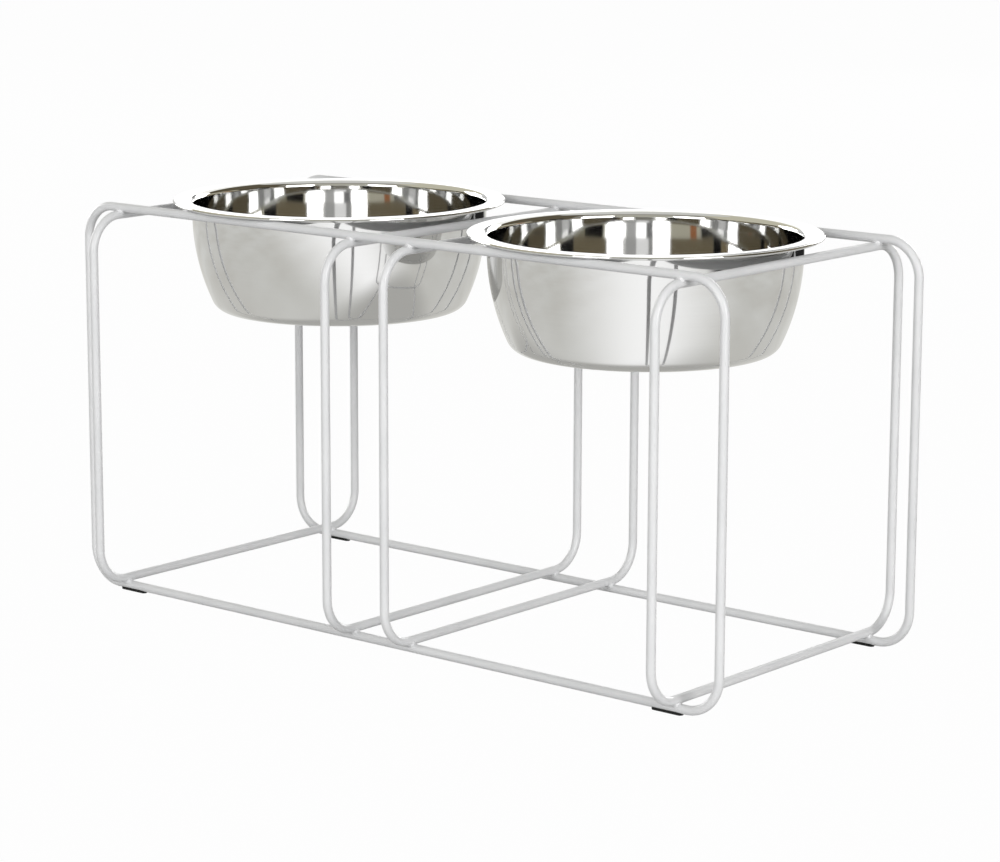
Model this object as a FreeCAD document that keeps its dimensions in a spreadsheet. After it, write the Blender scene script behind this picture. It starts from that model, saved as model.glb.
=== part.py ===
# Elevated stand for two pet bowls, in millimetres: +X along the stand, -Y its front, +Z up,
# with the origin on the floor under its middle. Six bent wire hoops are welded where they cross,
# four rubber feet carry them, and two steel bowls hang by their rims and lift out.

import FreeCAD, Part
import math
import os
import Sketcher

# Driving dimensions.
SIZES = {
    # The wire frame. Overhangs run from the centre of one wire to the centre of another.
    "wire_diameter": 5.6,
    "frame_height": 256.6,
    "opening_length": 197,
    "opening_width": 192.6,
    "inner_hoop_spacing": 47.4,
    "long_overhang": 30.2,
    "cross_overhang": 24.5,
    "bend_radius": 22.5,
    # Each crossing: how far the weld presses one wire into the other, and the bead round it.
    "weld_set_down": 1,
    "weld_diameter": 7.2,
    "weld_height": 5,
    # The rubber feet, which cup the wire from below, and their place beside the end hoops.
    "foot_length": 22,
    "foot_width": 4.4,
    "foot_thickness": 1,
    "foot_cup_depth": 0.8,
    "foot_edge_radius": 0.4,
    "foot_inset": 6,
    # The bowls, and their room in the frame.
    "bowl_clearance": 0.7,
    "seat_clearance": 0.3,
    "bowl_depth": 72.5,
    "bowl_wall": 0.8,
    "rim_width": 12.4,
    "rim_roll_diameter": 2,
    "shoulder_radius": 3,
    "wall_straight": 6,
    "wall_curve_radius": 134,
    "base_corner_radius": 11,
}

# Sizes and places that follow from the driving dimensions.
DERIVED = {
    # Places of the hoops: the long ones stand at y, the cross ones at x.
    "wire_radius": "sizes.wire_diameter / 2",
    "cross_pitch": "sizes.opening_length + sizes.wire_diameter",
    "inner_hoop_x": "sizes.inner_hoop_spacing / 2",
    "end_hoop_x": "inner_hoop_x + cross_pitch",
    "long_hoop_y": "(sizes.opening_width + sizes.wire_diameter) / 2",
    # The hoops' centre lines. The cross hoops fit between the rails of the long ones.
    "long_half_span": "end_hoop_x + sizes.long_overhang",
    "long_rise": "sizes.frame_height - sizes.wire_diameter",
    "long_hoop_z": "sizes.foot_thickness + wire_radius",
    "cross_half_span": "long_hoop_y + sizes.cross_overhang",
    "crossing_step": "sizes.wire_diameter - sizes.weld_set_down",
    "cross_rise": "long_rise - 2 * crossing_step",
    "cross_hoop_z": "long_hoop_z + crossing_step",
    # The welds, midway between the wires that they join.
    "weld_radius": "sizes.weld_diameter / 2",
    "weld_half_height": "sizes.weld_height / 2",
    "bottom_weld_z": "long_hoop_z + crossing_step / 2",
    "top_weld_z": "long_hoop_z + long_rise - crossing_step / 2",
    # The feet.
    "foot_x": "end_hoop_x - sizes.foot_inset",
    "foot_end_radius": "sizes.foot_width / 2",
    "foot_half_straight": "(sizes.foot_length - sizes.foot_width) / 2",
    "foot_height": "sizes.foot_thickness + sizes.foot_cup_depth",
    # The bowls. Height nought of a bowl is the underside of its rolled edge, which the rails carry.
    "bowl_x": "inner_hoop_x + cross_pitch / 2",
    "bowl_z": "long_hoop_z + long_rise + wire_radius + sizes.seat_clearance",
    "body_radius": "sizes.opening_width / 2 - sizes.bowl_clearance",
    "body_inner_radius": "body_radius - sizes.bowl_wall",
    "roll_radius": "sizes.rim_roll_diameter / 2",
    "roll_centre_x": "body_radius + sizes.rim_width - roll_radius",
    "rim_underside": "sizes.rim_roll_diameter - sizes.bowl_wall",
    "base_drop": "sizes.bowl_depth - sizes.rim_roll_diameter",
    "shoulder_top_radius": "sizes.shoulder_radius + sizes.bowl_wall",
    "wall_curve_inner_radius": "sizes.wall_curve_radius - sizes.bowl_wall",
    "base_corner_inner_radius": "sizes.base_corner_radius - sizes.bowl_wall",
}

doc = FreeCAD.newDocument("bowl_stand")


def fill_sheet(name, contents, prefix):
    """Write one row per size: its name, and beside it its value under that name as alias."""
    sheet = doc.addObject("Spreadsheet::Sheet", name)
    for row, (alias, content) in enumerate(contents.items(), start=1):
        sheet.set(f"A{row}", alias)
        sheet.set(f"B{row}", f"{prefix}{content}")
        sheet.setAlias(f"B{row}", alias)
    doc.recompute()
    return sheet


sizes = fill_sheet("sizes", SIZES, "")
derived = fill_sheet("derived", DERIVED, "=")


def sheet_of(alias):
    return sizes if alias in SIZES else derived


def value(alias):
    """The number that a size has now."""
    return float(sheet_of(alias).get(alias))


def bind(obj, target, alias, sign=""):
    """Tie a property or a named constraint of an object to a size."""
    obj.setExpression(target, f"{sign}{sheet_of(alias).Name}.{alias}")


def place(obj, x=None, y=None, z=None):
    """Tie an object's place to sizes, each given as a sign and an alias."""
    for axis, place_on_axis in (("x", x), ("y", y), ("z", z)):
        if place_on_axis:
            sign, alias = place_on_axis
            bind(obj, f"Placement.Base.{axis}", alias, sign)


def add_body(label):
    body = doc.addObject("PartDesign::Body", label)
    body.Label = label
    return body


def add_sketch(body, name, role):
    """A sketch on one of the body's own origin planes."""
    sketch = body.newObject("Sketcher::SketchObject", name)
    plane = next(feature for feature in body.Origin.OriginFeatures if feature.Role == role)
    sketch.AttachmentSupport = [(plane, "")]
    sketch.MapMode = "FlatFace"
    return sketch


def add_line(sketch, start, end):
    return sketch.addGeometry(Part.LineSegment(FreeCAD.Vector(*start, 0), FreeCAD.Vector(*end, 0)))


def add_arc(sketch, centre, radius, start_angle, end_angle):
    circle = Part.Circle(FreeCAD.Vector(*centre, 0), FreeCAD.Vector(0, 0, 1), radius)
    return sketch.addGeometry(Part.ArcOfCircle(circle, math.radians(start_angle), math.radians(end_angle)))


def relate(sketch, kind, *where):
    sketch.addConstraint(Sketcher.Constraint(kind, *where))


def dimension(sketch, kind, where, alias, name=None):
    """A driving constraint that carries a size."""
    name = name or alias
    index = sketch.addConstraint(Sketcher.Constraint(kind, *where, value(alias)))
    sketch.renameConstraint(index, name)
    bind(sketch, f"Constraints.{name}", alias)


# Points and axes of a sketch, as its constraints name them.
START, END, CENTRE = range(1, 4)
LEVEL_AXIS, UPRIGHT_AXIS = range(-1, -3, -1)
ORIGIN = (LEVEL_AXIS, START)


def bent_hoop(label, path_plane, section_plane, half_span, rise):
    """One wire bent to a closed upright rounded rectangle, with the middle of its bottom rail at nought."""
    body = add_body(label)
    width, height, bend = value(half_span), value(rise), value("bend_radius")
    path = add_sketch(body, f"{label}_path", path_plane)
    runs = [
        add_line(path, (0, 0), (width - bend, 0)),
        add_line(path, (width, bend), (width, height - bend)),
        add_line(path, (width - bend, height), (bend - width, height)),
        add_line(path, (-width, height - bend), (-width, bend)),
        add_line(path, (bend - width, 0), (0, 0)),
    ]
    bends = [
        add_arc(path, (width - bend, bend), bend, -90, 0),
        add_arc(path, (width - bend, height - bend), bend, 0, 90),
        add_arc(path, (bend - width, height - bend), bend, 90, 180),
        add_arc(path, (bend - width, bend), bend, 180, 270),
    ]
    for run, curve, next_run in zip(runs, bends, runs[1:]):
        relate(path, "Tangent", run, END, curve, START)
        relate(path, "Tangent", curve, END, next_run, START)
    relate(path, "Coincident", runs[0], START, *ORIGIN)
    relate(path, "Coincident", runs[4], END, *ORIGIN)
    for rail in (runs[0], runs[2], runs[4]):
        relate(path, "Horizontal", rail)
    for upright in (runs[1], runs[3]):
        relate(path, "Vertical", upright)
    for curve in bends[1:]:
        relate(path, "Equal", bends[0], curve)
    dimension(path, "Radius", (bends[0],), "bend_radius")
    dimension(path, "DistanceX", (*ORIGIN, runs[1], START), half_span, "right_half")
    dimension(path, "DistanceX", (runs[3], START, *ORIGIN), half_span, "left_half")
    dimension(path, "DistanceY", (*ORIGIN, runs[2], START), rise)

    section = add_sketch(body, f"{label}_section", section_plane)
    circle = section.addGeometry(
        Part.Circle(FreeCAD.Vector(0, 0, 0), FreeCAD.Vector(0, 0, 1), value("wire_radius")))
    relate(section, "Coincident", circle, CENTRE, *ORIGIN)
    dimension(section, "Radius", (circle,), "wire_radius")

    wire = body.newObject("PartDesign::AdditivePipe", f"{label}_wire")
    wire.Profile = section
    wire.Spine = (path, [])
    return body


def cut(label, piece, *neighbours):
    """A piece cut to the shape of the neighbours that it meets."""
    for neighbour in neighbours:
        blank = piece
        piece = doc.addObject("Part::Cut", f"{label}_seated")
        piece.Base = blank
        piece.Tool = neighbour
    piece.Label = label
    return piece


def long_hoop(label, side):
    hoop = bent_hoop(label, "XZ_Plane", "YZ_Plane", "long_half_span", "long_rise")
    place(hoop, y=(side, "long_hoop_y"), z=("", "long_hoop_z"))
    return hoop


def cross_hoop(label, side, hoop_x, crossed):
    """A hoop across the stand, with a saddle where each weld presses it into a long hoop."""
    hoop = bent_hoop(f"{label}_blank", "YZ_Plane", "XZ_Plane", "cross_half_span", "cross_rise")
    place(hoop, x=(side, hoop_x), z=("", "cross_hoop_z"))
    return cut(label, hoop, *crossed)


def weld(label, hoops, x, y, z):
    """The bead in the corners between two crossing wires, which it meets all over."""
    bead = doc.addObject("Part::Ellipsoid", f"{label}_bead")
    bind(bead, "Radius1", "weld_half_height")
    bind(bead, "Radius2", "weld_radius")
    bind(bead, "Radius3", "weld_radius")
    place(bead, x, y, z)
    return cut(label, bead, *hoops)


def foot(label, hoop, side_x, side_y):
    """A long pad with round ends under a bottom rail, cut to the wire that it cups."""
    blank = add_body(f"{label}_blank")
    outline = add_sketch(blank, f"{label}_outline", "XY_Plane")
    straight, radius = value("foot_half_straight"), value("foot_end_radius")
    edges = [
        add_line(outline, (-straight, -radius), (straight, -radius)),
        add_line(outline, (straight, radius), (-straight, radius)),
    ]
    ends = [
        add_arc(outline, (straight, 0), radius, -90, 90),
        add_arc(outline, (-straight, 0), radius, 90, 270),
    ]
    for edge, end, next_edge in zip(edges, ends, reversed(edges)):
        relate(outline, "Tangent", edge, END, end, START)
        relate(outline, "Tangent", end, END, next_edge, START)
    relate(outline, "Horizontal", edges[0])
    relate(outline, "Symmetric", ends[0], CENTRE, ends[1], CENTRE, *ORIGIN)
    dimension(outline, "Radius", (ends[0],), "foot_end_radius")
    dimension(outline, "DistanceX", (*ORIGIN, ends[0], CENTRE), "foot_half_straight")
    pad = blank.newObject("PartDesign::Pad", f"{label}_pad")
    pad.Profile = outline
    bind(pad, "Length", "foot_height")
    doc.recompute()
    sole = next(i for i, face in enumerate(pad.Shape.Faces, start=1) if face.normalAt(0, 0).z < 0)
    rounding = blank.newObject("PartDesign::Fillet", f"{label}_rounding")
    rounding.Base = (pad, [f"Face{sole}"])
    bind(rounding, "Radius", "foot_edge_radius")
    place(blank, x=(side_x, "foot_x"), y=(side_y, "long_hoop_y"))
    return cut(label, blank, hoop)


def bowl(label, side):
    """One pressed sheet, turned about its upright axis: flat base, swelling wall, flat rim, rolled edge."""
    body = add_body(label)
    section = add_sketch(body, f"{label}_section", "XZ_Plane")
    wall, radius, inner = value("bowl_wall"), value("body_radius"), value("body_inner_radius")
    roll, roll_x = value("roll_radius"), value("roll_centre_x")
    rim_top, rim_under = value("rim_roll_diameter"), value("rim_underside")
    shoulder, corner = value("shoulder_radius"), value("base_corner_radius")
    curve, base = value("wall_curve_radius"), -value("base_drop")

    # Start places: the wall's straight part ends at wall_z, where its curve begins, and the
    # curve runs on to the base corner, whose centre lies at corner_x, corner_z.
    shoulder_z = rim_under - shoulder
    wall_z = shoulder_z - value("wall_straight")
    corner_z = base + corner
    turn = math.degrees(math.asin((wall_z - corner_z) / (curve - corner)))
    corner_x = radius - curve + (curve - corner) * math.cos(math.radians(turn))
    tuck = math.degrees(math.asin((rim_under - roll) / roll))
    tuck_x = roll_x - roll * math.cos(math.radians(tuck))

    base_under = add_line(section, (0, base), (corner_x, base))
    corner_outer = add_arc(section, (corner_x, corner_z), corner, -90, -turn)
    curve_outer = add_arc(section, (radius - curve, wall_z), curve, -turn, 0)
    wall_outer = add_line(section, (radius, wall_z), (radius, shoulder_z))
    shoulder_under = add_arc(section, (radius + shoulder, shoulder_z), shoulder, 90, 180)
    rim_lower = add_line(section, (radius + shoulder, rim_under), (tuck_x, rim_under))
    rolled_edge = add_arc(section, (roll_x, roll), roll, 180 - tuck, 450)
    rim_upper = add_line(section, (roll_x, rim_top), (radius + shoulder, rim_top))
    shoulder_upper = add_arc(section, (radius + shoulder, shoulder_z), shoulder + wall, 90, 180)
    wall_inner = add_line(section, (inner, shoulder_z), (inner, wall_z))
    curve_inner = add_arc(section, (radius - curve, wall_z), curve - wall, -turn, 0)
    corner_inner = add_arc(section, (corner_x, corner_z), corner - wall, -90, -turn)
    base_upper = add_line(section, (corner_x, base + wall), (0, base + wall))
    middle = add_line(section, (0, base + wall), (0, base))

    smooth_joints = [
        (base_under, END, corner_outer, START),
        (corner_outer, END, curve_outer, START),
        (curve_outer, END, wall_outer, START),
        (wall_outer, END, shoulder_under, END),
        (shoulder_under, START, rim_lower, START),
        (rolled_edge, END, rim_upper, START),
        (rim_upper, END, shoulder_upper, START),
        (shoulder_upper, END, wall_inner, START),
        (wall_inner, END, curve_inner, END),
        (curve_inner, START, corner_inner, END),
        (corner_inner, START, base_upper, START),
    ]
    for joint in smooth_joints:
        relate(section, "Tangent", *joint)
    relate(section, "Coincident", rim_lower, END, rolled_edge, START)
    relate(section, "Coincident", base_upper, END, middle, START)
    relate(section, "Coincident", middle, END, base_under, START)
    relate(section, "PointOnObject", base_under, START, UPRIGHT_AXIS)
    for level in (base_under, rim_lower, rim_upper, base_upper):
        relate(section, "Horizontal", level)
    for upright in (wall_outer, wall_inner, middle):
        relate(section, "Vertical", upright)
    relate(section, "Horizontal", wall_outer, START, wall_inner, END)

    dimension(section, "Radius", (corner_outer,), "base_corner_radius")
    dimension(section, "Radius", (corner_inner,), "base_corner_inner_radius")
    dimension(section, "Radius", (curve_outer,), "wall_curve_radius")
    dimension(section, "Radius", (curve_inner,), "wall_curve_inner_radius")
    dimension(section, "Radius", (shoulder_under,), "shoulder_radius")
    dimension(section, "Radius", (shoulder_upper,), "shoulder_top_radius")
    dimension(section, "Radius", (rolled_edge,), "roll_radius")
    dimension(section, "DistanceX", (*ORIGIN, rolled_edge, CENTRE), "roll_centre_x")
    dimension(section, "DistanceX", (*ORIGIN, wall_outer, START), "body_radius")
    dimension(section, "DistanceX", (*ORIGIN, wall_inner, START), "body_inner_radius")
    dimension(section, "DistanceY", (wall_outer, START, wall_outer, END), "wall_straight")
    dimension(section, "DistanceY", (base_under, START, *ORIGIN), "base_drop")
    dimension(section, "DistanceY", (base_under, START, base_upper, END), "bowl_wall")
    dimension(section, "DistanceY", (*ORIGIN, rim_lower, START), "rim_underside")
    dimension(section, "DistanceY", (*ORIGIN, rim_upper, START), "rim_roll_diameter")

    turned = body.newObject("PartDesign::Revolution", f"{label}_turned")
    turned.Profile = section
    turned.ReferenceAxis = (section, ["V_Axis"])
    turned.Angle = 360
    place(body, x=(side, "bowl_x"), z=("", "bowl_z"))
    return body


LONG_SIDES = {"front": "-", "rear": ""}
CROSS_PLACES = {
    "left_end": ("-", "end_hoop_x"),
    "left_inner": ("-", "inner_hoop_x"),
    "right_inner": ("", "inner_hoop_x"),
    "right_end": ("", "end_hoop_x"),
}
ENDS = {"left": "-", "right": ""}

long_hoops = {name: long_hoop(f"{name}_long_hoop", side) for name, side in LONG_SIDES.items()}
crossed = long_hoops.values()
cross_hoops = {name: cross_hoop(f"{name}_hoop", *spot, crossed) for name, spot in CROSS_PLACES.items()}
pieces = [*long_hoops.values(), *cross_hoops.values()]

for long_name, side in LONG_SIDES.items():
    for cross_name, spot in CROSS_PLACES.items():
        crossing = (long_hoops[long_name], cross_hoops[cross_name])
        for level in ("top", "bottom"):
            label = f"weld_{long_name}_{level}_{cross_name}"
            pieces.append(weld(label, crossing, spot, (side, "long_hoop_y"), ("", f"{level}_weld_z")))
    for end, end_side in ENDS.items():
        pieces.append(foot(f"{long_name}_{end}_foot", long_hoops[long_name], end_side, side))

for end, end_side in ENDS.items():
    pieces.append(bowl(f"{end}_bowl", end_side))

doc.recompute()

failed = [obj.Name for obj in doc.Objects if {"Invalid", "Error"} & set(obj.State)]
if failed:
    raise RuntimeError(f"These objects failed: {failed}")
unsound = [piece.Label for piece in pieces if piece.Shape.isNull() or not piece.Shape.isValid()]
if unsound:
    raise RuntimeError(f"These pieces have no sound shape: {unsound}")

os.makedirs("parts", exist_ok=True)
for piece in pieces:
    piece.Shape.exportStep(f"parts/{piece.Label}.step")
    print(f"{piece.Label}: {len(piece.Shape.Solids)} solid, {piece.Shape.Volume:.1f} mm3")
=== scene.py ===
import math

import bpy
from mathutils import Matrix, Vector


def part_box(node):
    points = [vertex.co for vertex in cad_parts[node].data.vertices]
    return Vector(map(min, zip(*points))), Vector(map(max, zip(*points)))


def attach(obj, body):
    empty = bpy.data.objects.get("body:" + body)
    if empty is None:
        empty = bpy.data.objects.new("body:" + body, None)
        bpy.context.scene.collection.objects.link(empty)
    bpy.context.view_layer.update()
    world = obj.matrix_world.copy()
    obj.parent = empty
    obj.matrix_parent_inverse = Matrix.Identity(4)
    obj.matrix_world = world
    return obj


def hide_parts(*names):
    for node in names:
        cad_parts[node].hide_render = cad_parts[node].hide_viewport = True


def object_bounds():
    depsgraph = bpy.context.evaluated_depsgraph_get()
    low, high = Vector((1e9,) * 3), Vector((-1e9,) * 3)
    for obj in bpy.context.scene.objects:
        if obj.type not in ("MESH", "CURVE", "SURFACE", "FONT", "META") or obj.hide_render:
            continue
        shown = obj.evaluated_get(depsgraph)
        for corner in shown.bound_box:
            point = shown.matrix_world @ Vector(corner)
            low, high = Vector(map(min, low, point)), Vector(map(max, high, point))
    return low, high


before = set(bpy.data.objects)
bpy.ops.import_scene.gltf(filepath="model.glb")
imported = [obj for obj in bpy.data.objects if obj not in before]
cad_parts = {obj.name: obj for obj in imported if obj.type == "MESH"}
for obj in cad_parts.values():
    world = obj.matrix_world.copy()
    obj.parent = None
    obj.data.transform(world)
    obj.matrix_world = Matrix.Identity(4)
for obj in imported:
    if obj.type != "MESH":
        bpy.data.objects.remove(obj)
cad_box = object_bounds()

LONG_HOOPS = ("front_long_hoop", "rear_long_hoop")
CROSS_HOOPS = ("left_end_hoop", "left_inner_hoop", "right_inner_hoop", "right_end_hoop")
BOWLS = ("left_bowl", "right_bowl")
FEET = ("front_left_foot", "front_right_foot", "rear_left_foot", "rear_right_foot")
WELDS = [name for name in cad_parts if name.startswith("weld_")]

# Sizes of the bent wire and of the pressed bowls, in metres. Overall sizes and places come from the frame.
BEND_RADIUS = 0.0225
BOWL_WALL = 0.0008
RIM_WIDTH = 0.0124
RIM_ROLL = 0.002
SHOULDER_RADIUS = 0.003
WALL_STRAIGHT = 0.006
WALL_CURVE_RADIUS = 0.134
BASE_CORNER_RADIUS = 0.011

# Half a weld bead's height, and its unevenness, as shares of half its width.
WELD_HEIGHT_SHARE = 0.7
WELD_UNEVEN_SHARE = 0.15

# How finely round forms are divided, and the angle in degrees from which the bowl's edges are sharp.
WIRE_SIDES = 32
BEND_STEPS = 24
BEAD_SUBDIVISIONS = 4
BOWL_SEGMENTS = 256
BASE_CORNER_STEPS = 24
WALL_STEPS = 30
SHOULDER_UNDER_STEPS = 16
SHOULDER_TOP_STEPS = 20
ROLL_STEPS = 36
SHARP_ANGLE = 50

# Finishes: the two ends of each colour, the least roughness, and what the grain adds to it.
COAT_DIM = (0.69, 0.695, 0.7, 1)
COAT_PALE = (0.75, 0.752, 0.755, 1)
COAT_ROUGHNESS = 0.28
COAT_ROUGHNESS_ADDED = 0.12
STEEL_DIM = (0.645, 0.645, 0.64, 1)
STEEL_PALE = (0.675, 0.675, 0.67, 1)
STEEL_ROUGHNESS = 0.02
STEEL_ROUGHNESS_ADDED = 0.03
STEEL_LINES_SCALE = (6, 5200, 1)
STEEL_CLOUDS_SCALE = (9, 60, 1)
RUBBER_DIM = (0.003, 0.003, 0.003, 1)
RUBBER_PALE = (0.009, 0.009, 0.009, 1)
RUBBER_ROUGHNESS = 0.55
RUBBER_ROUGHNESS_ADDED = 0.3
RUBBER_SPECULAR = 0.25

# The camera, fitted to the crossings and edges of the wires in the photograph: degrees, metres and pixels.
CAMERA_AZIMUTH = 39.816
CAMERA_ELEVATION = 11.291
CAMERA_ROLL = 0.156
CAMERA_AIM = (0.0125, -0.0012, 0.1232)
CAMERA_DISTANCE = 2.0272
FOCAL_PIXELS = 3208.1
IMAGE_WIDTH_PIXELS = 1000
SENSOR_WIDTH = 36

# Level directions from the object, and degrees in a radian.
TO_CAMERA = (math.sin(math.radians(CAMERA_AZIMUTH)), -math.cos(math.radians(CAMERA_AZIMUTH)), 0)
TO_RIGHT = (math.cos(math.radians(CAMERA_AZIMUTH)), math.sin(math.radians(CAMERA_AZIMUTH)), 0)
DEGREES = math.degrees(1)

# Soft light from all round: its level at the horizon, overhead, and what the camera's side adds.
LIGHT_AT_HORIZON = 0.5
LIGHT_OVERHEAD = 0.06
LIGHT_IN_FRONT = 0.4

# Square lamps, aimed at the middle of the stand: name, place in metres and power in watts.
LAMP_SIZE = 1.7
LAMP_AIM = (0, 0, 0.13)
LAMPS = [
    ("right key", (3.86, -1.03, 1.13), 79),
    ("left key", (0.34, -3.98, 1.13), 60),
    ("left back light", (-3.96, 0.55, 1.05), 46),
    ("right back light", (-0.83, 3.9, 1.05), 46),
]

# The floor: half its side in metres, the grey of its paper, and how far the camera sees it as plain white.
FLOOR_HALF = 30
PAPER_GREY = (0.48, 0.48, 0.48, 1)
PLAIN_WHITE = (1, 1, 1, 1)
CAMERA_WHITENESS = 0.98

# The floor's painted reflection, seen only by glossy rays: cloudy, with a painted pool of light, painted
# shade under the stand and a painted dark patch. Turns are in degrees from the camera's direction as seen
# from the right bowl, distances in metres, and the shade under the stand is in shares of half the stand's
# length and depth.
FLOOR_CLOUDS_SCALE = 2.2
FLOOR_DIM = (0.72, 0.71, 0.67, 1)
FLOOR_PALE = (0.82, 0.82, 0.79, 1)
FLOOR_LIT = (1.34, 1.34, 1.34, 1)
FLOOR_SHADED = (0.56, 0.555, 0.53, 1)
FLOOR_DARK = (0.02, 0.02, 0.02, 1)
LIT_SPREAD = 75
SHADE_REACH = 1.3
SHADE_SOFTNESS = 0.45
DARK_TURN = 105
DARK_HALF_SPREAD = 60
DARK_SIDE_SOFTNESS = 6
DARK_START = 1.6
DARK_HALF_LENGTH = 20
DARK_START_SOFTNESS = 0.08

# Painted reflections: flats round the studio, patches of the world that only glossy rays see, for polished
# steel to mirror. Each has a name, its left and right edges as turns from the camera's direction, its lower
# and upper edges as heights, all in degrees, and a colour. Later flats cover earlier ones.
FLAT_SIDE_SOFTNESS = 1
FLAT_TOP_SOFTNESS = 0.35
LOW_ROW = (-1, 9.3)
SHORT_ROW = (9.3, 15.5)
HIGH_ROW = (9.3, 17)
TALL_ROW = (9.3, 58)
# Colours of the painted reflections; the room colour is their ground under all flats.
ROOM_COLOUR = (0.42, 0.41, 0.36, 1)
BLACK = (0.01, 0.01, 0.01, 1)
DARK_GREY = (0.3, 0.3, 0.3, 1)
MID_GREY = (0.75, 0.75, 0.74, 1)
BRIGHT_WHITE = (3, 3, 3, 1)
DIM_KHAKI = (0.14, 0.12, 0.08, 1)
KHAKI = (0.24, 0.2, 0.125, 1)
PALE_KHAKI = (0.72, 0.69, 0.55, 1)
RUST = (0.5, 0.2, 0.08, 1)
PAINTED_REFLECTION_FLATS = [
    ("overhead sheet", 0, 360, (58, 90), (0.82, 0.82, 0.78, 1)),
    ("right tall sheet", 192, 300, TALL_ROW, PALE_KHAKI),
    ("left tall sheet", 55, 150, (14, 58), DIM_KHAKI),
    ("back tall sheet", 145, 195, TALL_ROW, (1.3, 1.3, 1.25, 1)),
    ("front sheet", -40, 40, (10, 40), (0.55, 0.54, 0.46, 1)),
    ("right high flag", 241, 270, SHORT_ROW, BLACK),
    ("right high card", 270, 322, SHORT_ROW, (0.28, 0.26, 0.17, 1)),
    ("first high reflector", 206, 238, HIGH_ROW, BRIGHT_WHITE),
    ("first high divider", 191, 206, HIGH_ROW, MID_GREY),
    ("second high reflector", 176, 191, HIGH_ROW, BRIGHT_WHITE),
    ("second high divider", 164.5, 176, HIGH_ROW, DARK_GREY),
    ("third high reflector", 140, 164.5, HIGH_ROW, BRIGHT_WHITE),
    ("left high card", 94, 140, SHORT_ROW, PALE_KHAKI),
    ("left warm card", 100, 110, (9.3, 12.5), RUST),
    ("left high flag", 35, 92, SHORT_ROW, BLACK),
    ("front low card", -40, 19, LOW_ROW, (0.5, 0.48, 0.4, 1)),
    ("front low reflector", -46, -18, LOW_ROW, (1.1, 1.1, 1.06, 1)),
    ("first left low flag", 19, 40, LOW_ROW, BLACK),
    ("left brown card", 40, 61, LOW_ROW, (0.3, 0.24, 0.14, 1)),
    ("second left low flag", 61, 74, LOW_ROW, BLACK),
    ("left low card", 74, 140, LOW_ROW, KHAKI),
    ("third low reflector", 140, 164.5, LOW_ROW, (1.4, 1.4, 1.38, 1)),
    ("second low divider", 164.5, 172.5, LOW_ROW, (0.5, 0.5, 0.49, 1)),
    ("second low reflector", 172.5, 191, LOW_ROW, (1.45, 1.45, 1.45, 1)),
    ("first low divider", 191, 206, LOW_ROW, (0.65, 0.65, 0.64, 1)),
    ("first low reflector", 206, 236, LOW_ROW, (1, 1, 0.98, 1)),
    ("right low card", 236, 287, LOW_ROW, KHAKI),
    ("right low flag", 287, 309, LOW_ROW, BLACK),
    ("right pale card", 309, 326, LOW_ROW, PALE_KHAKI),
]


class Socket:
    """A node's output that takes part in sums: each operator adds a Math node."""

    def __init__(self, maker, socket):
        self.maker = maker
        self.socket = socket

    def __add__(self, other):
        return self.maker.maths("ADD", self, other)

    def __sub__(self, other):
        return self.maker.maths("SUBTRACT", self, other)

    def __rsub__(self, other):
        return self.maker.maths("SUBTRACT", other, self)

    def __mul__(self, other):
        return self.maker.maths("MULTIPLY", self, other)

    def __lt__(self, other):
        return self.maker.maths("LESS_THAN", self, other)

    __radd__ = __add__
    __rmul__ = __mul__


class NodeMaker:
    """Adds nodes to one tree and links them."""

    def __init__(self, tree):
        self.tree = tree

    def add(self, kind, settings=None, inputs=None, output=0):
        """Add a node, set its settings, then the values or links of its sockets; give one output."""
        node = self.tree.nodes.new(kind)
        for name, setting in (settings or {}).items():
            if name == "stops":
                self.set_stops(node.color_ramp, setting)
            else:
                setattr(node, name, setting)
        for name, content in (inputs or {}).items():
            self.feed(node.inputs[name], content)
        return Socket(self, node.outputs[output])

    def feed(self, target, content):
        """Link a socket to a node's output, or set its value."""
        if isinstance(content, Socket):
            self.tree.links.new(content.socket, target)
        else:
            target.default_value = content

    def maths(self, operation, *terms):
        return self.add("ShaderNodeMath", {"operation": operation}, dict(enumerate(terms)))

    def vectors(self, operation, *terms):
        """Vector Math; a dot product and a length give a number, the rest a vector."""
        output = "Value" if operation in ("DOT_PRODUCT", "LENGTH") else "Vector"
        return self.add("ShaderNodeVectorMath", {"operation": operation}, dict(enumerate(terms)), output)

    def noise(self, place, scale, detail):
        inputs = {"Vector": place, "Scale": scale, "Detail": detail}
        return self.add("ShaderNodeTexNoise", None, inputs, "Fac")

    def ramp(self, share, stops):
        """Colours by a share, from stops of place and colour."""
        return self.add("ShaderNodeValToRGB", {"stops": stops}, {"Fac": share}, "Color")

    def bump(self, height, strength, depth):
        return self.add("ShaderNodeBump", None, {"Strength": strength, "Distance": depth, "Height": height})

    def within(self, offset, half, soft):
        """One where an offset is under half a width, nought outside, with a soft edge."""
        inputs = {"Value": self.maths("ABSOLUTE", offset), "From Min": half + soft, "From Max": half - soft}
        return self.add("ShaderNodeMapRange", {"interpolation_type": "SMOOTHSTEP"}, inputs)

    def paint(self, ground, colour, mask, label=""):
        """Lay a colour over a ground where a mask is one."""
        settings = {"data_type": "RGBA", "label": label}
        return self.add("ShaderNodeMix", settings, {0: mask, 6: ground, 7: colour}, 2)

    @staticmethod
    def set_stops(ramp, stops):
        while len(ramp.elements) < len(stops):
            ramp.elements.new(1)
        for element, (place, colour) in zip(ramp.elements, stops):
            element.position = place
            element.color = colour


def put(name, data):
    """A new object in the scene, at the origin."""
    piece = bpy.data.objects.new(name, data)
    bpy.context.scene.collection.objects.link(piece)
    return piece


def new_finish(name):
    """A material with its node maker and its surface shader."""
    material = bpy.data.materials.new(name)
    material.use_nodes = True
    maker = NodeMaker(material.node_tree)
    surface = material.node_tree.nodes["Principled BSDF"]
    return material, maker, surface


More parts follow.
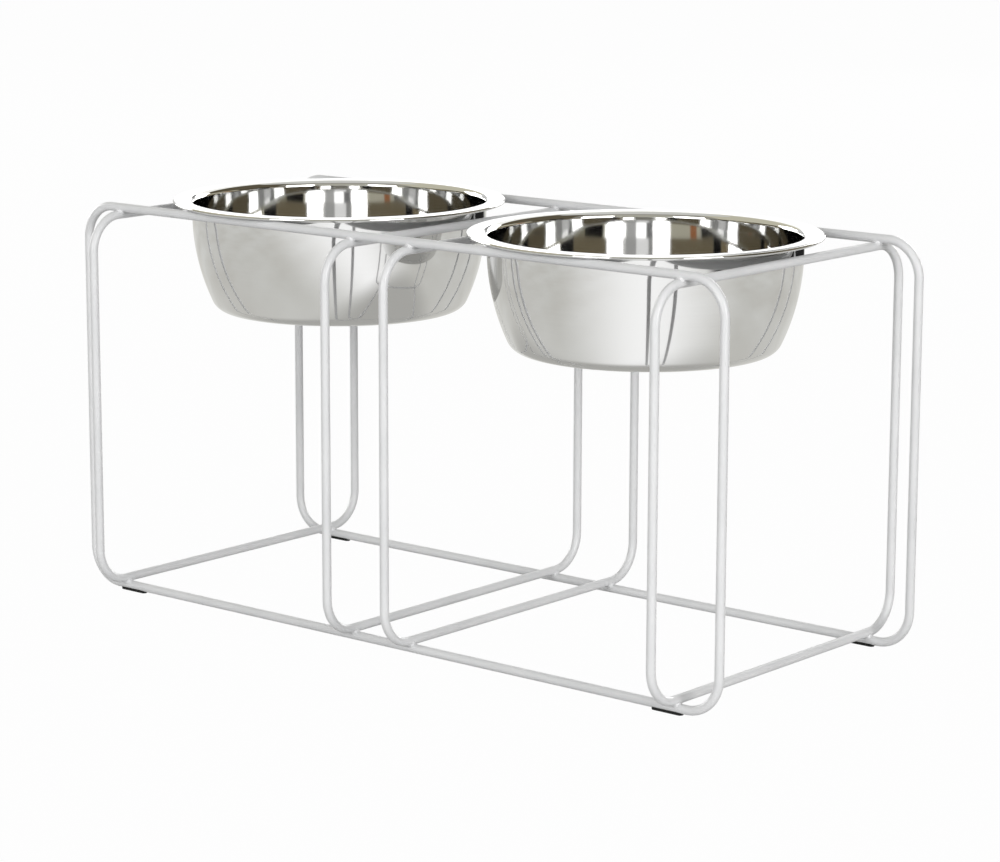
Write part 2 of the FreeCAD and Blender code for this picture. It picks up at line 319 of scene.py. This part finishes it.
def powder_coat():
    """Pale grey baked powder coat: faint orange peel and slow changes of tone."""
    material, maker, surface = new_finish("pale powder coat")
    place = maker.add("ShaderNodeTexCoord", output="Object")
    peel = maker.noise(place, scale=700, detail=2)
    tone = maker.noise(place, scale=30, detail=3)
    maker.feed(surface.inputs["Base Color"], maker.ramp(tone, [(0.3, COAT_DIM), (0.7, COAT_PALE)]))
    maker.feed(surface.inputs["Roughness"], COAT_ROUGHNESS + COAT_ROUGHNESS_ADDED * peel)
    maker.feed(surface.inputs["Normal"], maker.bump(peel, strength=0.25, depth=0.00006))
    return material


def polished_steel():
    """Mirror-polished stainless sheet with fine polishing lines that run round the bowl."""
    material, maker, surface = new_finish("polished stainless steel")
    round_and_up = maker.add("ShaderNodeUVMap", {"uv_map": "round_and_up"})
    lines_at = maker.add("ShaderNodeMapping", None, {"Vector": round_and_up, "Scale": STEEL_LINES_SCALE})
    lines = maker.noise(lines_at, scale=1, detail=4)
    clouds_at = maker.add("ShaderNodeMapping", None, {"Vector": round_and_up, "Scale": STEEL_CLOUDS_SCALE})
    clouds = maker.noise(clouds_at, scale=1, detail=3)
    roughness = STEEL_ROUGHNESS + STEEL_ROUGHNESS_ADDED * lines + STEEL_ROUGHNESS_ADDED * clouds
    maker.feed(surface.inputs["Base Color"], maker.ramp(lines, [(0.2, STEEL_DIM), (0.8, STEEL_PALE)]))
    maker.feed(surface.inputs["Roughness"], roughness)
    maker.feed(surface.inputs["Normal"], maker.bump(lines, strength=0.06, depth=0.00001))
    surface.inputs["Metallic"].default_value = 1
    return material


def foot_rubber():
    """Matt black moulded rubber."""
    material, maker, surface = new_finish("black rubber")
    place = maker.add("ShaderNodeTexCoord", output="Object")
    grain = maker.noise(place, scale=2500, detail=3)
    maker.feed(surface.inputs["Base Color"], maker.ramp(grain, [(0.3, RUBBER_DIM), (0.7, RUBBER_PALE)]))
    maker.feed(surface.inputs["Roughness"], RUBBER_ROUGHNESS + RUBBER_ROUGHNESS_ADDED * grain)
    maker.feed(surface.inputs["Normal"], maker.bump(grain, strength=0.3, depth=0.0001))
    surface.inputs["Specular IOR Level"].default_value = RUBBER_SPECULAR
    return material


def node_tree(name, sizes):
    """A geometry tree with named inputs for its sizes; gives the tree, its maker and its inputs."""
    tree = bpy.data.node_groups.new(name, "GeometryNodeTree")
    tree.interface.new_socket("Geometry", in_out="INPUT", socket_type="NodeSocketGeometry")
    tree.interface.new_socket("Geometry", in_out="OUTPUT", socket_type="NodeSocketGeometry")
    for size, kind in sizes.items():
        tree.interface.new_socket(size, in_out="INPUT", socket_type=kind)
    maker = NodeMaker(tree)
    entry = tree.nodes.new("NodeGroupInput")
    inputs = {socket.name: Socket(maker, socket) for socket in entry.outputs if socket.name}
    return tree, maker, inputs


def end_tree(maker, shape, material):
    """Close a geometry tree: a plain smooth mesh with its material."""
    smooth = maker.add("GeometryNodeSetShadeSmooth", None, {"Geometry": shape})
    plain = maker.add("GeometryNodeRealizeInstances", None, {"Geometry": smooth})
    dressed = maker.add("GeometryNodeSetMaterial", None, {"Geometry": plain, "Material": material})
    exit_node = maker.tree.nodes.new("NodeGroupOutput")
    maker.feed(exit_node.inputs["Geometry"], dressed)


def grow(name, tree, sizes, base=None):
    """Run a geometry tree on a base mesh and keep the result as a plain mesh object."""
    carrier = put(f"{name}_carrier", base or bpy.data.meshes.new(f"{name}_base"))
    modifier = carrier.modifiers.new("grow", "NODES")
    modifier.node_group = tree
    for item in tree.interface.items_tree:
        if item.in_out == "INPUT" and item.name in sizes:
            modifier[item.identifier] = sizes[item.name]
    graph = bpy.context.evaluated_depsgraph_get()
    mesh = bpy.data.meshes.new_from_object(carrier.evaluated_get(graph), depsgraph=graph)
    carrier.modifiers.remove(modifier)
    bpy.data.objects.remove(carrier)
    mesh.name = name
    return put(name, mesh)


def hand_over(piece, body, slot, *nodes):
    """Put a piece on the body that carries it and hide the CAD nodes it stands for; the finish slot is not
    used.
    """
    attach(piece, body)
    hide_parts(*nodes)


def bent_wire_tree(material):
    """A round wire bent to a closed rounded rectangle."""
    sizes = {
        "Span": "NodeSocketFloat",
        "Rise": "NodeSocketFloat",
        "Bend radius": "NodeSocketFloat",
        "Wire radius": "NodeSocketFloat",
        "Turn": "NodeSocketRotation",
        "Middle": "NodeSocketVector",
    }
    tree, maker, inputs = node_tree("bent wire", sizes)
    outline = maker.add("GeometryNodeCurvePrimitiveQuadrilateral", {"mode": "RECTANGLE"},
                        {"Width": inputs["Span"], "Height": inputs["Rise"]})
    bent = maker.add("GeometryNodeFilletCurve", {"mode": "POLY"},
                     {"Curve": outline, "Count": BEND_STEPS, "Radius": inputs["Bend radius"]})
    upright = maker.add("GeometryNodeTransform", None,
                        {"Geometry": bent, "Translation": inputs["Middle"], "Rotation": inputs["Turn"]})
    section = maker.add("GeometryNodeCurvePrimitiveCircle", {"mode": "RADIUS"},
                        {"Resolution": WIRE_SIDES, "Radius": inputs["Wire radius"]})
    wire = maker.add("GeometryNodeCurveToMesh", None, {"Curve": upright, "Profile Curve": section})
    end_tree(maker, wire, material)
    return tree


def make_hoops(material):
    """The six hoops, all bent over the same former."""
    tree = bent_wire_tree(material)
    low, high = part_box(LONG_HOOPS[0])
    wire_radius = (high.y - low.y) / 2
    upright = Matrix.Rotation(math.radians(90), 4, "X")
    across = Matrix.Rotation(math.radians(90), 4, "Z") @ upright
    for names, axis, turn in ((LONG_HOOPS, 0, upright), (CROSS_HOOPS, 1, across)):
        for name in names:
            low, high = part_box(name)
            sizes = {
                "Span": high[axis] - low[axis] - 2 * wire_radius,
                "Rise": high.z - low.z - 2 * wire_radius,
                "Bend radius": BEND_RADIUS,
                "Wire radius": wire_radius,
                "Turn": turn.to_euler(),
                "Middle": (low + high) / 2,
            }
            hand_over(grow(f"{name}_wire", tree, sizes), "stand", "wire_coat", name)


def weld_tree(material):
    """A bead of weld metal at every crossing, each a little uneven."""
    sizes = {"Bead size": "NodeSocketVector", "Unevenness": "NodeSocketFloat"}
    tree, maker, inputs = node_tree("weld beads", sizes)
    ball_inputs = {"Radius": 1, "Subdivisions": BEAD_SUBDIVISIONS}
    ball = maker.add("GeometryNodeMeshIcoSphere", None, ball_inputs, "Mesh")
    bead = maker.add("GeometryNodeTransform", None, {"Geometry": ball, "Scale": inputs["Bead size"]})
    placed = maker.add("GeometryNodeInstanceOnPoints", None, {"Points": inputs["Geometry"], "Instance": bead})
    plain = maker.add("GeometryNodeRealizeInstances", None, {"Geometry": placed})
    place = maker.add("GeometryNodeInputPosition")
    ripple = maker.noise(place, scale=350, detail=1)
    outward = maker.add("GeometryNodeInputNormal")
    shift = maker.add("ShaderNodeVectorMath", {"operation": "SCALE"},
                      {"Vector": outward, "Scale": (ripple - 0.5) * inputs["Unevenness"]})
    uneven = maker.add("GeometryNodeSetPosition", None, {"Geometry": plain, "Offset": shift})
    end_tree(maker, uneven, material)
    return tree


def make_welds(material):
    """All weld beads, as one piece."""
    boxes = [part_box(name) for name in WELDS]
    spots = bpy.data.meshes.new("weld_spots")
    spots.from_pydata([(low + high) / 2 for low, high in boxes], [], [])
    low, high = boxes[0]
    half_width = (high.x - low.x) / 2
    sizes = {
        "Bead size": (half_width, half_width, WELD_HEIGHT_SHARE * half_width),
        "Unevenness": WELD_UNEVEN_SHARE * half_width,
    }
    hand_over(grow("weld_beads", weld_tree(material), sizes, spots), "stand", "wire_coat", *WELDS)


def arc(centre, radius, start, end, steps):
    """Points of an arc, without its first one."""
    angles = [math.radians(start + (end - start) * i / steps) for i in range(1, steps + 1)]
    return [(centre[0] + radius * math.cos(a), centre[1] + radius * math.sin(a)) for a in angles]


def bowl_outline(rim_radius, depth):
    """Radius and height of the pressed sheet, from the middle of its underside round to the middle of its
    inside. Height nought is the underside of the rolled edge."""
    radius = rim_radius - RIM_WIDTH
    inner = radius - BOWL_WALL
    roll = RIM_ROLL / 2
    base = RIM_ROLL - depth
    rim_under = RIM_ROLL - BOWL_WALL
    shoulder = (radius + SHOULDER_RADIUS, rim_under - SHOULDER_RADIUS)
    wall_z = shoulder[1] - WALL_STRAIGHT
    curve = (radius - WALL_CURVE_RADIUS, wall_z)
    reach = WALL_CURVE_RADIUS - BASE_CORNER_RADIUS
    turn = math.degrees(math.asin((wall_z - base - BASE_CORNER_RADIUS) / reach))
    corner = (curve[0] + reach * math.cos(math.radians(turn)), base + BASE_CORNER_RADIUS)
    roll_centre = (rim_radius - roll, roll)
    tuck = math.degrees(math.asin((rim_under - roll) / roll))
    points = [(0, base), (corner[0] / 2, base), (corner[0], base)]
    points += arc(corner, BASE_CORNER_RADIUS, -90, -turn, BASE_CORNER_STEPS)
    points += arc(curve, WALL_CURVE_RADIUS, -turn, 0, WALL_STEPS)
    points += [(radius, shoulder[1])]
    points += arc(shoulder, SHOULDER_RADIUS, 180, 90, SHOULDER_UNDER_STEPS)
    points += arc(roll_centre, roll, 180 - tuck, 450, ROLL_STEPS)
    points += [(shoulder[0], RIM_ROLL)]
    points += arc(shoulder, RIM_ROLL - shoulder[1], 90, 180, SHOULDER_TOP_STEPS)
    points += [(inner, wall_z)]
    points += arc(curve, WALL_CURVE_RADIUS - BOWL_WALL, 0, -turn, WALL_STEPS)
    points += arc(corner, BASE_CORNER_RADIUS - BOWL_WALL, -turn, -90, BASE_CORNER_STEPS)
    points += [(corner[0] / 2, base + BOWL_WALL), (0, base + BOWL_WALL)]
    return points


def turned(name, outline, middle, material):
    """A closed shell turned about an upright axis. Its UV map holds the share of a turn and the metres along
    its outline."""
    ends, rings = (outline[0], outline[-1]), outline[1:-1]
    angles = [math.tau * j / BOWL_SEGMENTS for j in range(BOWL_SEGMENTS)]
    vertices = [middle + Vector((r * math.cos(a), r * math.sin(a), z)) for r, z in rings for a in angles]
    first_pole = len(vertices)
    vertices += [middle + Vector((r, 0, z)) for r, z in ends]
    along = [0]
    for before, after in zip(outline, outline[1:]):
        along.append(along[-1] + math.dist(before, after))
    faces, uvs = [], []
    for j in range(BOWL_SEGMENTS):
        k = (j + 1) % BOWL_SEGMENTS
        left, right = j / BOWL_SEGMENTS, (j + 1) / BOWL_SEGMENTS
        faces.append((first_pole, k, j))
        uvs += [(left, along[0]), (right, along[1]), (left, along[1])]
        for i in range(len(rings) - 1):
            low, high = i * BOWL_SEGMENTS, (i + 1) * BOWL_SEGMENTS
            faces.append((low + j, low + k, high + k, high + j))
            lower, upper = along[i + 1], along[i + 2]
            uvs += [(left, lower), (right, lower), (right, upper), (left, upper)]
        last = (len(rings) - 1) * BOWL_SEGMENTS
        faces.append((last + j, last + k, first_pole + 1))
        uvs += [(left, along[-2]), (right, along[-2]), (left, along[-1])]
    mesh = bpy.data.meshes.new(name)
    mesh.from_pydata(vertices, [], faces)
    layer = mesh.uv_layers.new(name="round_and_up")
    layer.data.foreach_set("uv", [number for pair in uvs for number in pair])
    mesh.shade_smooth()
    mesh.set_sharp_from_angle(angle=math.radians(SHARP_ANGLE))
    mesh.materials.append(material)
    return put(name, mesh)


def make_bowls(material):
    """Both bowls, hung by the rim."""
    for name in BOWLS:
        low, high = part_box(name)
        seat = Vector(((low.x + high.x) / 2, (low.y + high.y) / 2, high.z - RIM_ROLL))
        outline = bowl_outline((high.x - low.x) / 2, high.z - low.z)
        hand_over(turned(f"{name}_sheet", outline, seat, material), name, "bowl_steel", name)


def dress_feet(material):
    """The feet keep their CAD shape and get their rubber."""
    for name in FEET:
        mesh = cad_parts[name].data
        mesh.materials.clear()
        mesh.materials.append(material)


def make_camera():
    """The view of the photograph."""
    elevation = math.radians(CAMERA_ELEVATION)
    level = math.cos(elevation)
    back = Vector((TO_CAMERA[0] * level, TO_CAMERA[1] * level, math.sin(elevation)))
    right = Vector(TO_RIGHT)
    up = back.cross(right)
    roll = Matrix.Rotation(math.radians(CAMERA_ROLL), 3, "Z")
    turn = Matrix((right, up, back)).transposed() @ roll
    data = bpy.data.cameras.new("camera")
    data.sensor_width = SENSOR_WIDTH
    data.lens = FOCAL_PIXELS / IMAGE_WIDTH_PIXELS * SENSOR_WIDTH
    camera = put("camera", data)
    camera.matrix_world = Matrix.Translation(Vector(CAMERA_AIM) + CAMERA_DISTANCE * back) @ turn.to_4x4()
    bpy.context.scene.camera = camera


def rays(maker):
    """Masks for what looks at the floor or the world: the camera, polished steel seen by it, or glass."""
    path = maker.tree.nodes.new("ShaderNodeLightPath")
    names = ("Is Camera Ray", "Is Glossy Ray", "Is Transmission Ray", "Diffuse Depth")
    camera, glossy, glass, matt_bounces = (Socket(maker, path.outputs[name]) for name in names)
    return camera, glossy * (matt_bounces < 0.5), glass


def painted_floor_reflection(maker):
    """The floor's painted reflection, as glossy rays see it: cloudy, with a painted pool of light towards the
    camera, painted shade under the stand and a painted dark patch far out on the right."""
    place = maker.add("ShaderNodeTexCoord", output="Object")
    low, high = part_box("right_bowl")
    from_bowl = maker.vectors("SUBTRACT", place, (low + high) / 2)
    ahead = maker.vectors("DOT_PRODUCT", from_bowl, TO_CAMERA)
    sideways = maker.vectors("DOT_PRODUCT", from_bowl, TO_RIGHT)
    heading = maker.maths("ARCTAN2", sideways, ahead) * DEGREES
    reach = maker.vectors("LENGTH", place)
    half_length, half_depth, _ = cad_box[1]
    share = maker.vectors("LENGTH", maker.vectors("DIVIDE", place, (half_length, half_depth, 1)))
    lit = maker.within(heading, LIT_SPREAD / 2, LIT_SPREAD / 2)
    shaded = maker.within(share, SHADE_REACH, SHADE_SOFTNESS)
    dark_side = maker.within(heading - DARK_TURN, DARK_HALF_SPREAD, DARK_SIDE_SOFTNESS)
    far_out = maker.within(reach - (DARK_START + DARK_HALF_LENGTH), DARK_HALF_LENGTH, DARK_START_SOFTNESS)
    clouds = maker.noise(place, FLOOR_CLOUDS_SCALE, detail=3)
    colour = maker.ramp(clouds, [(0.35, FLOOR_DIM), (0.65, FLOOR_PALE)])
    # Over the cloudy ground: a painted pool of light towards the camera, painted shade under the stand and a
    # painted dark patch far out on the right.
    colour = maker.paint(colour, FLOOR_LIT, lit)
    colour = maker.paint(colour, FLOOR_SHADED, shaded)
    return maker.paint(colour, FLOOR_DARK, dark_side * far_out)


def make_floor():
    """A wide floor: white to the camera with a trace of the object's shadow, painted in mirrors, and grey
    paper to all other light."""
    corners = [(FLOOR_HALF * x, FLOOR_HALF * y, 0) for x, y in ((-1, -1), (1, -1), (1, 1), (-1, 1))]
    mesh = bpy.data.meshes.new("floor")
    mesh.from_pydata(corners, [], [(0, 1, 2, 3)])
    floor = put("floor", mesh)
    material, maker, surface = new_finish("floor")
    maker.tree.nodes.remove(surface)
    camera, mirrors, glass = rays(maker)
    # Glossy rays see the floor's painted reflection in place of plain white.
    colour = maker.paint(PLAIN_WHITE, painted_floor_reflection(maker), mirrors)
    paper = maker.add("ShaderNodeBsdfDiffuse", None, {"Color": PAPER_GREY})
    white_and_painted_reflection = maker.add("ShaderNodeEmission", None, {"Color": colour, "Strength": 1})
    factor = CAMERA_WHITENESS * camera + mirrors + glass
    mixed = maker.add("ShaderNodeMixShader", None, {0: factor, 1: paper, 2: white_and_painted_reflection})
    maker.feed(maker.tree.nodes["Material Output"].inputs["Surface"], mixed)
    mesh.materials.append(material)


def painted_studio_reflections(maker):
    """Painted reflections of the studio's flats, as glossy rays see them, each painted over the ones before
    it.
    """
    heading = maker.add("ShaderNodeTexCoord", output="Generated")
    apart = maker.tree.nodes.new("ShaderNodeSeparateXYZ")
    maker.feed(apart.inputs[0], heading)
    x, y, z = (Socket(maker, socket) for socket in apart.outputs)
    turn = maker.maths("ARCTAN2", x, -1 * y) * DEGREES - CAMERA_AZIMUTH
    height = maker.maths("ARCSINE", z) * DEGREES
    colour = ROOM_COLOUR
    for name, left, right, (low, high), painted_patch in PAINTED_REFLECTION_FLATS:
        off_turn = maker.maths("WRAP", turn - (left + right) / 2, 180, -180)
        across = maker.within(off_turn, (right - left) / 2, FLAT_SIDE_SOFTNESS)
        upward = maker.within(height - (low + high) / 2, (high - low) / 2, FLAT_TOP_SOFTNESS)
        colour = maker.paint(colour, painted_patch, across * upward, name)
    return colour


def soft_light(maker):
    """Soft light on the object: less from overhead, more from the camera's side."""
    heading = maker.add("ShaderNodeTexCoord", output="Generated")
    upward = maker.vectors("DOT_PRODUCT", heading, (0, 0, 1))
    forward = maker.maths("MAXIMUM", maker.vectors("DOT_PRODUCT", heading, TO_CAMERA), 0)
    level = LIGHT_AT_HORIZON - (LIGHT_AT_HORIZON - LIGHT_OVERHEAD) * upward + LIGHT_IN_FRONT * forward
    return maker.add("ShaderNodeCombineColor", None, {0: level, 1: level, 2: level})


def make_world():
    """White for the camera, soft grey-white light for the rest, and painted reflections of the studio's flats
    for glossy rays.
    """
    world = bpy.data.worlds.new("studio")
    world.use_nodes = True
    bpy.context.scene.world = world
    maker = NodeMaker(world.node_tree)
    maker.tree.nodes.clear()
    camera, mirrors, glass = rays(maker)
    light = maker.paint(soft_light(maker), PLAIN_WHITE, camera + glass)
    # Glossy rays see the painted reflections of the flats.
    light = maker.paint(light, painted_studio_reflections(maker), mirrors)
    sky = maker.add("ShaderNodeBackground", None, {"Color": light, "Strength": 1})
    exit_node = maker.tree.nodes.new("ShaderNodeOutputWorld")
    maker.feed(exit_node.inputs["Surface"], sky)


def make_lamp(name, place, power):
    data = bpy.data.lights.new(name, "AREA")
    data.shape = "SQUARE"
    data.size = LAMP_SIZE
    data.energy = power
    lamp = put(name, data)
    lamp.location = place
    lamp.rotation_euler = (Vector(LAMP_AIM) - Vector(place)).to_track_quat("-Z", "Y").to_euler()


coat = powder_coat()
steel = polished_steel()
rubber = foot_rubber()
make_hoops(coat)
make_welds(coat)
make_bowls(steel)
dress_feet(rubber)

bpy.context.scene.view_settings.view_transform = "Standard"
make_camera()
make_floor()
make_world()
for lamp_name, lamp_place, lamp_power in LAMPS:
    make_lamp(lamp_name, lamp_place, lamp_power)
